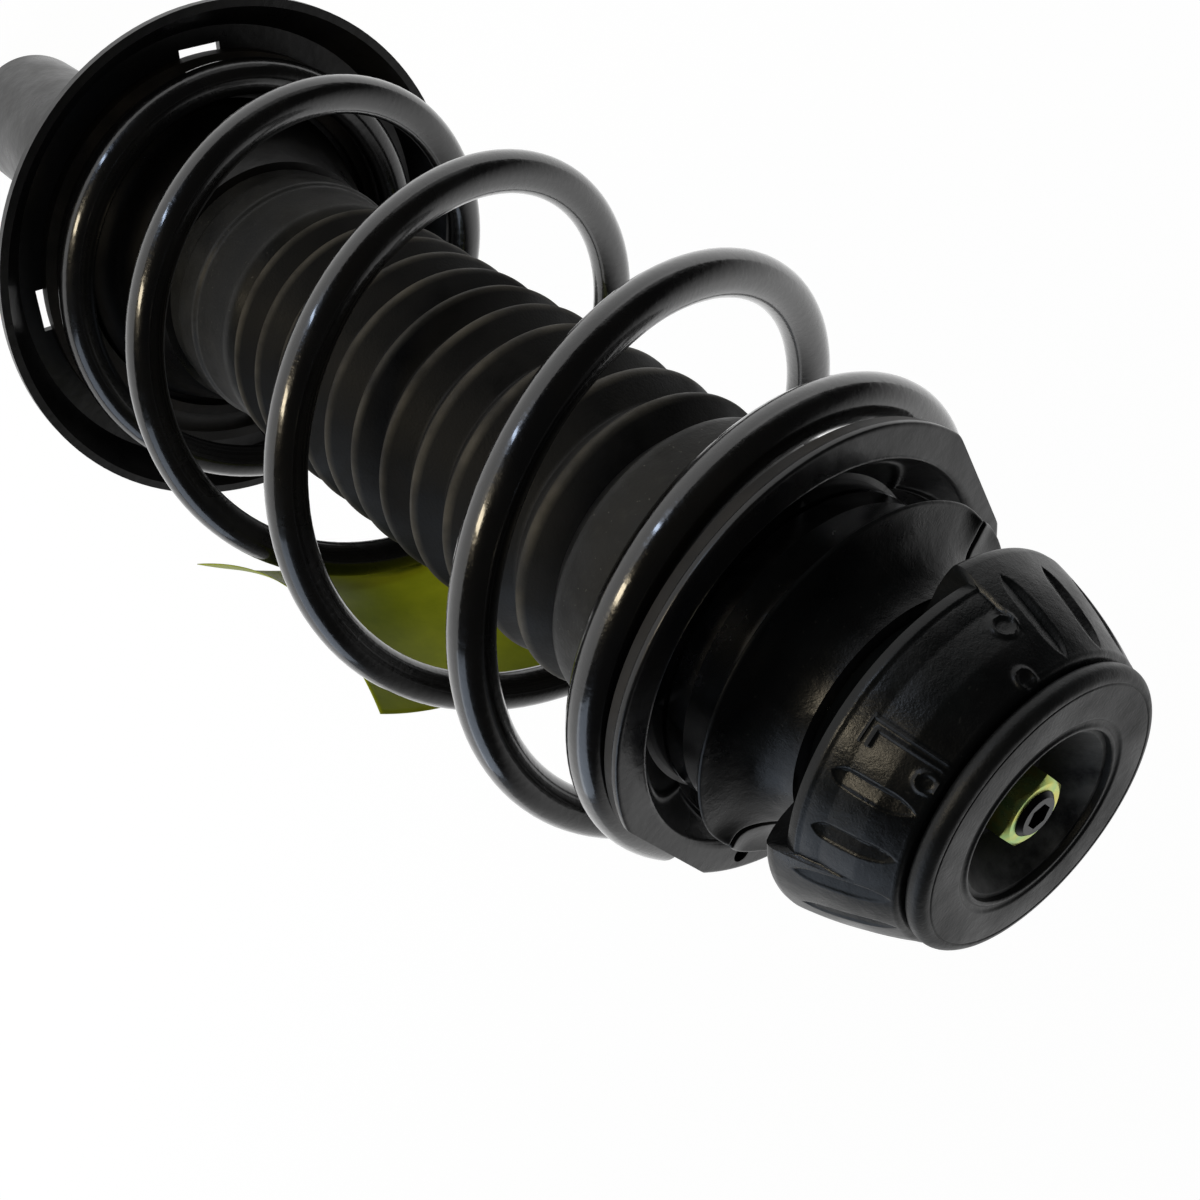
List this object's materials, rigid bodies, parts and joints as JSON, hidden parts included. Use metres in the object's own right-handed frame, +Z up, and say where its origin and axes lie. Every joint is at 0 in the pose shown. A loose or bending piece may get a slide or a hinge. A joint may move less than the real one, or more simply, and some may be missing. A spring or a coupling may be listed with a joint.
{
  "type": "strut assembly",
  "caption": "Front suspension strut: twin-tube damper with coil spring, spring seats, pleated dust boot, bump stop, steering bearing and rubber top mount.",
  "frame": {"origin": "middle of the knuckle slot, between the bracket's two ears and between its two bolts", "axes": "+Z up along the strut, +X along the knuckle bolts, +Y from the tube towards the knuckle"},
  "size_m": [0.198, 0.192, 0.5961],
  "materials": {
    "black_enamel": "satin black electrocoat",
    "spring_powder_coat": "gloss black powder coat",
    "boot_rubber": "matte moulded rubber",
    "mount_rubber": "semi matte moulded rubber",
    "pad_rubber": "matte rubber",
    "stop_foam": "polyurethane foam",
    "bearing_steel": "ground steel",
    "cage_plastic": "moulded polyamide",
    "plain_steel": "turned steel",
    "rod_chrome": "hard chrome",
    "bush_bronze": "sintered bronze",
    "yellow_zinc": "yellow green zinc plate",
    "tag_paper": "coated paper"
  },
  "bodies": {
    "strut_body": {"reservoir_tube": "black_enamel", "base_cup": "black_enamel", "base_valve": "plain_steel", "pressure_tube": "plain_steel", "rod_guide": "plain_steel", "guide_bush": "bush_bronze", "rod_seal": "pad_rubber", "top_cap": "black_enamel", "lower_seat_dome": "black_enamel", "lower_spring_seat": "black_enamel", "lower_isolator": "pad_rubber", "knuckle_bracket": "black_enamel", "stabiliser_bracket": "black_enamel", "hose_bracket": "black_enamel", "coil_spring": "spring_powder_coat", "dust_boot": "boot_rubber", "paper_tag": "tag_paper"},
    "upper_seat": {"upper_spring_seat": "black_enamel", "upper_isolator": "pad_rubber", "bearing_lower_race": "bearing_steel"},
    "top_mount": {"bearing_upper_race": "bearing_steel", "bearing_balls": "bearing_steel", "bearing_cage": "cage_plastic", "rod_washer": "plain_steel", "mount_core": "plain_steel", "mount_rubber": "mount_rubber", "mount_collar": "mount_rubber", "rebound_disc": "plain_steel", "rebound_disc_rubber": "mount_rubber", "top_nut": "yellow_zinc", "piston_rod": "rod_chrome", "piston": "plain_steel", "piston_band": "cage_plastic", "piston_nut": "plain_steel", "rebound_stop": "plain_steel", "bump_stop": "stop_foam"}
  },
  "joints": [
    {"name": "strut_travel", "type": "slide", "parent": "strut_body", "child": "upper_seat", "axis": [0, 0, 1], "range_m": [-0.165, 0], "stiffness_N_per_m": 24000, "springref_m": 0.005, "deforming": ["coil_spring", "dust_boot", "paper_tag", "bump_stop"]},
    {"name": "steering_swivel", "type": "hinge", "parent": "upper_seat", "child": "top_mount", "pos_m": [0, -0.052, 0.4613], "axis": [0, 0, 1], "range_deg": [-40, 40]}
  ]
}
